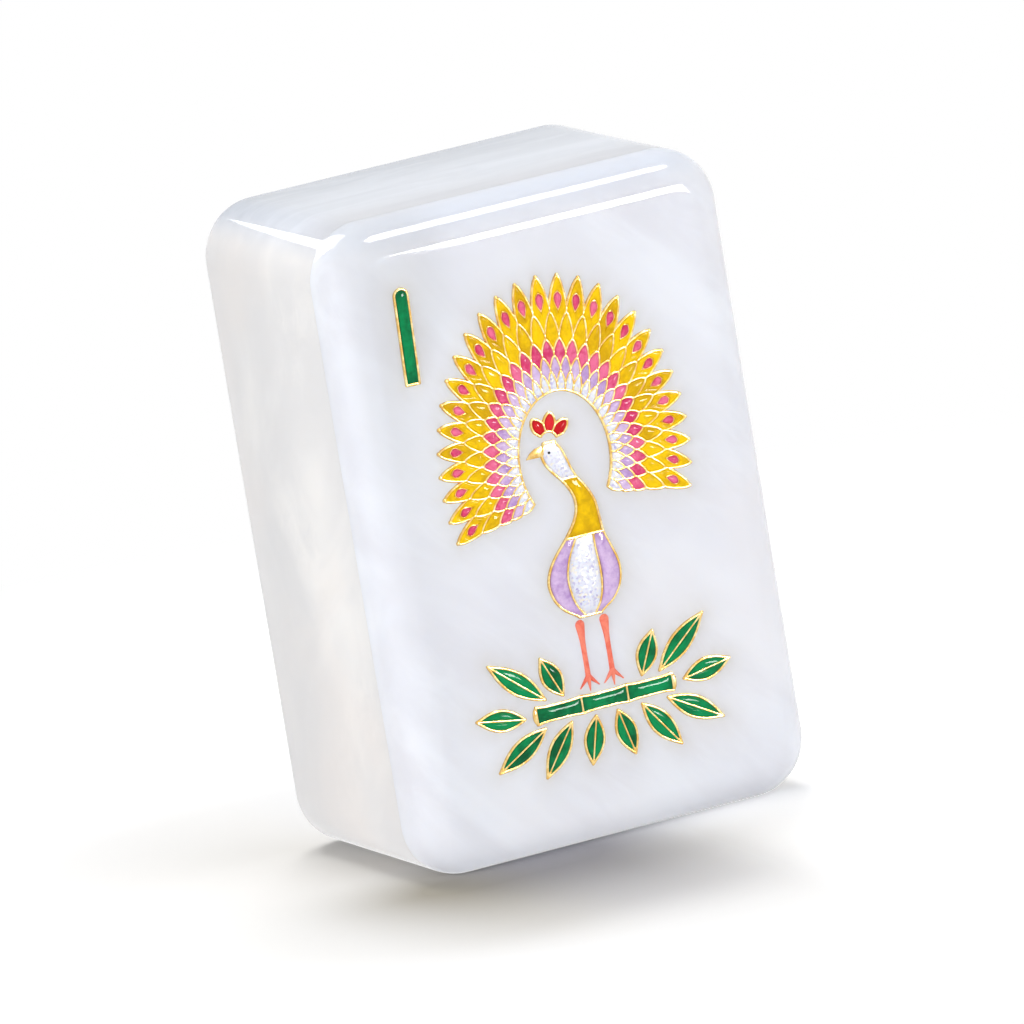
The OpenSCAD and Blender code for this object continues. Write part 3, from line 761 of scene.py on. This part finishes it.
def pearlFinish(name, look, backBlock):
    # Cloudy nacre under a clear skin: soft clouds, fine streaks in patches, a warm blush, and a cooler,
    # darker top that is painted shade and reflection. Painted shade darkens the back block behind the seam
    # and far back on top, towards the back of its sides, at its foot and on its dull back edges, and the face
    # layer beside its left edge and its wires.
    finish = Finish(name)
    place = finish.place()
    streak = Vector(look["streak"]).normalized()
    over = streak.cross(Vector((0, 0, 1))).normalized()
    stretched = finish.node("CombineXYZ", {}, {
        "X": place.dot(tuple(streak * look["stretch"])), "Y": place.dot(tuple(over)),
        "Z": place.dot(tuple(streak.cross(over)))})
    veil = finish.noise(stretched, look["scale"], 3.0, 0.5, 0.9)
    fine = finish.noise(stretched, look["scale"] * 5, 3.0, 0.6, 0.6)
    patch = finish.noise(place + (31.0, 7.0, 12.0), 0.11, 1.0).step(0.42, 0.66)
    cloud = finish.noise(place, 0.075)
    lustre = (veil * 0.55 + cloud * 0.45 + (fine - 0.5) * patch * 0.3).step(0.36, 0.66)
    warm = finish.noise(place + (5.0, 40.0, 23.0), 0.08, 1.5).step(0.48, 0.68)
    z = place.dot((0, 0, 1))
    top = z.step(*pearlShades["top"])
    colour = finish.mix(lustre, look["dark"], look["light"])
    colour = finish.mix(warm * pearlShades["blush"], colour, look["blush"])
    # Painted shade and reflection: a cooler, darker top
    colour = finish.mix(top * pearlShades["cool"], colour, look["cool"])

    def shaded(mask, key):
        shade = pearlShades[key]
        return finish.mix(mask * shade["strength"], colour, shade["colour"])

    # Back edges: a painted shade in the colour, and a thinner clear coat
    dull = finish.attribute("backEdge")
    if backBlock:
        y, far, edge = place.dot((0, 1, 0)), pearlShades["farTop"], pearlShades["backEdge"]
        # Painted shade: darker behind the seam and far back on top, broken up by a grain noise, towards the
        # back of the sides and at the foot
        colour = shaded((1 - y.step(*pearlShades["seam"]["y"])) * top, "seam")
        grain = finish.noise(place * (0.3, 1.0, 1.0), 0.35, 3.0, 0.6, 0.5).step(0.35, 0.65)
        colour = shaded((y.step(*far["y"]) + grain * far["grain"]) * top, "farTop")
        colour = shaded(y.step(*pearlShades["farSides"]["y"]) * (1 - top), "farSides")
        colour = shaded(1 - z.step(*pearlShades["foot"]["z"]), "foot")
        # Painted shade on the back edges: bluish grey on top, grey on the sides
        edgeColour = finish.mix(top, edge["sides"], edge["top"])
        colour = finish.mix(dull * edge["strength"], colour, edgeColour)
    else:
        # Painted shade on the face beside its left edge, reaching further in near the top
        x, left = place.dot((1, 0, 0)), pearlShades["left"]
        ends = (x - z.step(*left["widerFrom"]) * left["wider"]).step(*left["end"])
        lower = left["low"] + z.step(*left["full"]) * (1 - left["low"])
        colour = shaded(x.step(*left["x"]) * (1 - ends) * lower, "left")
        # Painted shade on the face beside the wires
        colour = shaded(finish.attribute("nearInlay"), "inlay")
    return finish.surface({
        "Base Color": colour, "Roughness": 0.4 - lustre * 0.1,
        "Specular IOR Level": 0.0, "Coat Weight": 1 - dull * pearlShades["backEdge"]["dull"],
        "Subsurface Weight": 0.25, "Subsurface Radius": (1.0, 0.9, 0.8), "Subsurface Scale": 0.0012,
        "Normal": finish.bump(fine, 0.04, 0.00008)})


giltLook = {"deep": (228, 184, 104), "bright": (248, 226, 166), "spots": 2.2, "grain": 10.0}  # per mm


def goldFinish():
    # Bright and deeper spots, a little rougher where bright, with a fine grain
    finish = Finish("giltWire")
    place = finish.place()
    tone = finish.noise(place, giltLook["spots"], 3.0, 0.6)
    colour = finish.mix(tone.step(0.35, 0.7), giltLook["deep"], giltLook["bright"])
    return finish.surface({
        "Base Color": colour, "Metallic": 1.0, "Roughness": 0.14 + tone * 0.16,
        "Normal": finish.bump(finish.noise(place, giltLook["grain"]), 0.15, 0.00002)})


enamelLooks = {
    "yellow": {"deep": (216, 168, 0), "clear": (253, 207, 0), "rim": (194, 148, 0), "mottle": 1.6},
    "rose": {"deep": (214, 58, 108), "clear": (240, 116, 156), "rim": (188, 36, 82), "mottle": 2.2},
    "lilac": {"deep": (184, 146, 206), "clear": (222, 196, 232), "rim": (160, 120, 184), "mottle": 2.2},
    "green": {"deep": (0, 90, 50), "clear": (0, 146, 84), "rim": (0, 74, 44), "mottle": 1.0},
    "red": {"deep": (200, 16, 28), "clear": (228, 42, 50), "rim": (150, 10, 20), "mottle": 1.8},
    "coral": {"deep": (238, 108, 88), "clear": (252, 146, 122), "rim": (220, 88, 70), "mottle": 1.6},
    "black": {"deep": (16, 14, 16), "clear": (34, 30, 32), "rim": (10, 9, 10), "mottle": 2.0},
}


def enamelFinish(name, look):
    # Clear glass enamel: mottled colour, a tone of its own in every cell, and a darker colour towards the rim
    finish = Finish(name)
    place = finish.place()
    mottle = finish.noise(place, look["mottle"], 3.0, 0.6, 0.4)
    tone = finish.attribute("tone")
    colour = finish.mix((mottle * 0.75 + tone * 0.3).step(0.3, 0.68), look["deep"], look["clear"])
    colour = finish.mix(finish.attribute("rim").step(0.7, 1.0) * 0.5, colour, look["rim"])
    ripple = finish.noise(place, 1.1, 1.0)
    return finish.surface({
        "Base Color": colour, "Roughness": 0.3 + mottle * 0.1, "Specular IOR Level": 0.0, "Coat Weight": 0.3,
        "Normal": finish.bump(ripple, 0.1, 0.00008)})


pearlGlass = {
    "glitter": ((0.0, (168, 160, 214)), (0.35, (232, 232, 242)), (0.7, (214, 222, 244)),
                (1.0, (240, 226, 190))),
    "fleckScale": 7.0, "cloud": (236, 238, 246), "rim": (176, 172, 190),
}


def pearlEnamelFinish():
    # Pearl glass with fine violet, blue and gold glitter: one random colour in each small cell
    finish = Finish("pearlEnamel")
    place = finish.place()
    flecks = finish.node("TexVoronoi", {}, {"Vector": place, "Scale": pearlGlass["fleckScale"]}, "Color")
    pick = finish.node("SeparateColor", {}, {"Color": flecks}, "Red")
    tint = finish.node("ValToRGB", {"stops": pearlGlass["glitter"]}, {"Fac": pick})
    cloud = finish.noise(place, 0.9)
    colour = finish.mix(cloud.step(0.35, 0.65) * 0.5, tint, pearlGlass["cloud"])
    colour = finish.mix(finish.attribute("rim").step(0.75, 1.0) * 0.4, colour, pearlGlass["rim"])
    return finish.surface({
        "Base Color": colour, "Roughness": 0.3, "Metallic": pick.step(0.7, 0.9) * 0.4, "Coat Weight": 1.0})


finishes = {"gold": goldFinish(), "pearl": pearlEnamelFinish()}
for key, look in enamelLooks.items():
    finishes[key] = enamelFinish(key + "Enamel", look)
print("finishes made:", len(bpy.data.materials))


# Inlay

wirePlaces = []  # face points of every wire, for the tint of the pearl beside them


def pieceName(node):
    first, *others = node.split("_")
    return first + "".join(word.capitalize() for word in others)


def makeEnamel(node, key, *parts, name=None):
    # A piece is named after its node, unless it has a name of its own
    return makePiece(name or pieceName(node), parts, finishes[key], key + "_enamel", node)


def makeGold(node, *parts, name=None):
    return makePiece(name or pieceName(node), parts, finishes["gold"], "gold_wire", node)


def makeWires(node, lines, *extra):
    # Half-round wires along lists of lines
    wirePlaces.extend(line.reshape(-1, 2) for line in lines)
    return makeGold(node, *[beddedWires(line, halfWire, tile["wireCrest"]) for line in lines], *extra)


for row, key in enumerate(("pearl", "lilac", "rose")):
    makeEnamel(key + "_scales", key, rowCells(row))
makeEnamel("short_feathers", "yellow", rowCells(3))
makeEnamel("long_feathers", "yellow", featherCells())
makeEnamel("feather_eye_enamel", "rose", eyeCells(), name="featherEyes")
makeGold("feather_eye_wires", eyeWires())
tipBeads = beads(trainPoint(rowPlaces(lastRow), 1.0), train["beadRadius"], train["beadCrest"])
makeWires("train_wire", trainWires(), tipBeads)
print("train made")

breast, neck, head, top = bird["breast"], bird["neck"], bird["head"], bird["top"]
makeEnamel("breast_enamel", "pearl", birdCell(-breast, breast, 0, neck, bird["breastShrink"]))
makeEnamel("left_wing_enamel", "lilac", birdCell(-1, -breast, 0, neck, bird["wingShrink"]))
makeEnamel("right_wing_enamel", "lilac", birdCell(breast, 1, 0, neck, bird["wingShrink"]))
makeEnamel("neck_enamel", "yellow", birdCell(-1, 1, neck, head, bird["neckShrink"]))
makeEnamel("head_enamel", "pearl", birdCell(-1, 1, head, top, bird["headShrink"], bird["headCrown"],
                                            bird["headPillow"]))
makeWires("bird_wire", birdWires())
beak = np.array(bird["beak"]) * bird["beakLength"] + birdPoint(-1, top - bird["eyeLine"])
makeGold("beak", domedCells(beak[None], beak.mean(0)[None], crown=tile["wireCrest"],
                            power=bird["beakPower"]), name="beakPiece")
eyeMiddle = birdPoint(bird["eyePlace"], top - bird["eyeLine"])
makeEnamel("eye", "black", beads(eyeMiddle[None], bird["eyeRadius"], bird["eyeCrest"]), name="eyePiece")
makeEnamel("crest_enamel", "red", crestCells())
makeWires("crest_wire", crestWires())
makeEnamel("left_leg", "coral", *legStrokes(-1), name="leftLegEnamel")
makeEnamel("right_leg", "coral", *legStrokes(1), name="rightLegEnamel")
print("bird made")

makeEnamel("cane_enamel", "green", *caneCells())
makeWires("cane_wire", caneWires(), caneCaps())
for mirror, side in ((-1, "left"), (1, "right")):
    leafWires, leafCells = leafParts(mirror)
    makeEnamel(side + "_leaf_enamel", "green", leafCells)
    makeWires(side + "_leaf_wires", [leafWires])
makeEnamel("rank_bar_enamel", "green", barCell())
makeWires("rank_bar_wire", barWires())
print("bamboo and rank bar made")

front = layerRings(0, tile["faceLayer"], tile["frontRadius"], tile["seamRadius"], layers["faceSpreads"],
                   layers["seamSpreads"])
# Painted shade beside the wires: e ** (-distance / inlayReach) to the nearest wire, only on the face
places = front.reshape(-1, 3) * 1000
wirePoints = np.concatenate(wirePlaces)[::3]
nearest = np.concatenate([
    np.sqrt(((chunk[:, None] - wirePoints) ** 2).sum(-1).min(-1))
    for chunk in np.array_split(places[:, ::2] - (0, tile["height"] / 2), 60)])
onFace = places[:, 1] < faceY + 0.01
nearInlay = np.where(onFace, np.exp(-nearest / layers["inlayReach"]), 0)
makePiece("pearlFaceLayer", [(front, False, {"nearInlay": nearInlay})],
          pearlFinish("pearlFace", pearlLooks["face"], False), "pearl_face", "face_layer")
back = layerRings(tile["faceLayer"], tile["depth"], tile["seamRadius"], tile["backRadius"],
                  layers["blockSpreads"], layers["backSpreads"])
# Painted shade on the rounded back edges: full near the back, fading out towards the front
fromBack = tile["depth"] + faceY - back.reshape(-1, 3)[:, 1] * 1000
end, fade, rise = layers["edgeFade"]
backEdge = np.clip((end - fromBack) / fade, 0, 1) * np.clip(fromBack / rise, 0, 1)
makePiece("pearlBackBlock", [(back, False, {"backEdge": backEdge})],
          pearlFinish("pearlBack", pearlLooks["back"], True), "pearl_back", "back_block")
print("pearl layers made")


# Stage, lamps and camera

stageLook = {
    "floorSize": 1.2, "plain": (50.0, 110.0),  # m, mm from the middle
    "tone": 0.98, "lift": 0.31, "liftLeft": 0.03, "liftFrom": (0.0, 9.0),  # grey, painted light to the right and left
    "bounce": 0.65, "underLight": 0.04,  # the floor as the object's light meets it
    # Painted contact shadow on the floor: its strength near the tile and in front, its reach, its end, and
    # where it applies, in mm
    "contact": 0.42, "contactFront": 0.75, "contactReach": 16.0, "contactEnd": (15.0, 26.0),
    "frontFrom": (2.0, 12.0), "frontLeft": (-24.0, -12.0), "rightEnd": (-6.0, 4.0), "darkest": 0.4,
    "warm": (1.11, 1.03, 0.86), "violet": (0.99, 0.97, 1.04),  # tints of the shadow's left and right end
    "tintFrom": (-14.0, -6.0),
    "roomLevel": 0.24,
}


def floorFinish():
    # The camera sees a pale floor with the object's shadow, white far off and in reflections; the object's
    # light meets a grey one. A painted shadow darkens the floor near the tile by e ** (-distance /
    # contactReach), more in front, and painted light lightens it again to the right.
    finish = Finish("paleFloor")
    place = finish.place()
    x, y = place.dot((1, 0, 0)), place.dot((0, 1, 0))
    outside = place.worked("ABSOLUTE", place) - (tile["width"] / 2, tile["depth"] / 2, 0)
    gap = outside.worked("MAXIMUM", outside, (0, 0, 0)).length()
    # Painted contact shadow, fading to the right and far off
    inFront = (y * -1.0).step(*stageLook["frontFrom"]) * x.step(*stageLook["frontLeft"])
    contact = (stageLook["contact"] + inFront * stageLook["contactFront"]) * (
        np.e ** (gap * (-1 / stageLook["contactReach"])))
    contact = contact * (x * -1.0).step(*stageLook["rightEnd"]) * (1 - gap.step(*stageLook["contactEnd"]))
    tint = finish.mix(x.step(*stageLook["tintFrom"]), stageLook["warm"], stageLook["violet"])
    colour = finish.mix(contact, (stageLook["tone"],) * 3, tint * stageLook["darkest"])
    # Painted light: an emission that lifts the floor's shadow to the right
    glow = finish.mix(x.step(*stageLook["liftFrom"]), (stageLook["liftLeft"],) * 3, (stageLook["lift"],) * 3)

    white = finish.node("Emission")
    shaded = finish.node("AddShader", {}, {0: finish.node("BsdfDiffuse", {}, {"Color": colour}),
                                           1: finish.node("Emission", {}, {"Color": glow})})
    lit = finish.node("AddShader", {}, {
        0: finish.node("BsdfDiffuse", {}, {"Color": (stageLook["bounce"],) * 3}),
        1: finish.node("Emission", {}, {"Strength": stageLook["underLight"]})})
    seen = finish.between(place.length().step(*stageLook["plain"]), shaded, white)
    mirrored = finish.rays("Glossy", "Transmission")
    seen = finish.between(mirrored, seen, white)
    return finish.shown(finish.between(finish.rays("Camera") + mirrored, lit, seen))


corners = np.array([(-1, -1, 0), (1, -1, 0), (1, 1, 0), (-1, 1, 0)]) * stageLook["floorSize"] / 2
floorMesh = bpy.data.meshes.new("floor")
floorMesh.from_pydata(corners.tolist(), [], [(0, 1, 2, 3)])
floorMesh.materials.append(floorFinish())
floor = placed("floor", floorMesh)


def roomFinish():
    # White to the camera and in reflections, and an even light on everything
    finish = Finish("room", True)
    light, white = [finish.node("Background", {}, {"Color": (1.0, 1.0, 1.0), "Strength": strength})
                    for strength in (stageLook["roomLevel"], 1.0)]
    return finish.shown(finish.between(finish.rays("Camera", "Glossy", "Transmission"), light, white))


bpy.context.scene.world = roomFinish()

# Softboxes light the tile and stay out of its gloss; strips show only there. Metres, watts and degrees
lamps = (
    {"name": "topSoftbox", "at": (0.02, 0.2, 0.5), "size": (0.3, 0.3), "power": 2.05},
    {"name": "leftSoftbox", "at": (-0.62, -0.12, 0.16), "size": (0.3, 0.4), "power": 2.72},
    {"name": "frontSoftbox", "at": (0.25, -0.61, 0.1), "size": (0.26, 0.14), "power": 2.4},
    {"name": "lowerStrip", "at": (0.3268, -0.57, 0.1), "size": (0.18, 0.14), "power": 3.6, "gloss": True},
    {"name": "upperStrip", "at": (0.172, -0.172, 0.4756), "size": (0.15, 0.1), "power": 0.88, "gloss": True},
    {"name": "wedgeStrip", "at": (-0.088, 0.1507, 0.2044), "size": (0.2175, 0.1208), "power": 0.5,
     "turn": 68.3, "gloss": True},
    {"name": "cornerStrip", "at": (-0.22, 0.3, 0.42), "size": (0.18, 0.18), "power": 2.4, "gloss": True},
)
target = Vector((0, 0, tile["height"] / 2000))
for lamp in lamps:
    data = bpy.data.lights.new(lamp["name"], "AREA")
    data.shape = "RECTANGLE"
    data.size, data.size_y = lamp["size"]
    data.energy = lamp["power"]
    held = placed(lamp["name"], data)
    held.location = lamp["at"]
    facing = (target - held.location).to_track_quat("-Z", "Y").to_matrix()
    held.rotation_euler = (facing @ Matrix.Rotation(np.radians(lamp.get("turn", 0.0)), 3, "Z")).to_euler()
    held.visible_glossy = lamp.get("gloss", False)
    held.visible_diffuse = not held.visible_glossy
    held.visible_camera = False

photoView = {
    "yaw": 23.3, "pitch": 11.29, "roll": -9.45,  # degrees
    "pixelsPerMm": 15.78, "offset": (-6.2, -15.0),  # of the tile's middle from the picture's, in pixels
    "distance": 1072.0, "picture": 1024, "sensor": 36.0,  # mm, pixels, mm
}


def turnAbout(axis, degrees):
    return np.array(Matrix.Rotation(np.radians(degrees), 3, axis))


# Rows of the turn: to the right, down and forward in the picture
right, down, ahead = (turnAbout("Z", photoView["roll"]) @ turnAbout("X", photoView["pitch"])
                      @ turnAbout("X", 90) @ turnAbout("Z", photoView["yaw"]))
scale = photoView["pixelsPerMm"]
middle = np.array([0, tile["proud"] / 2, tile["height"] / 2])
eye = (middle - ahead * photoView["distance"] - right * photoView["offset"][0] / scale
       - down * photoView["offset"][1] / scale) / 1000
camera = placed("camera", bpy.data.cameras.new("camera"))
pose = Matrix(np.column_stack([right, -down, -ahead]).tolist()).to_4x4()
pose.translation = Vector(eye.tolist())
camera.matrix_world = pose
camera.data.sensor_width = photoView["sensor"]
camera.data.lens = scale * photoView["distance"] * photoView["sensor"] / photoView["picture"]
camera.data.clip_start, camera.data.clip_end = 0.05, 5.0
bpy.context.scene.camera = camera
bpy.context.scene.view_settings.view_transform = "Standard"
print("stage made")
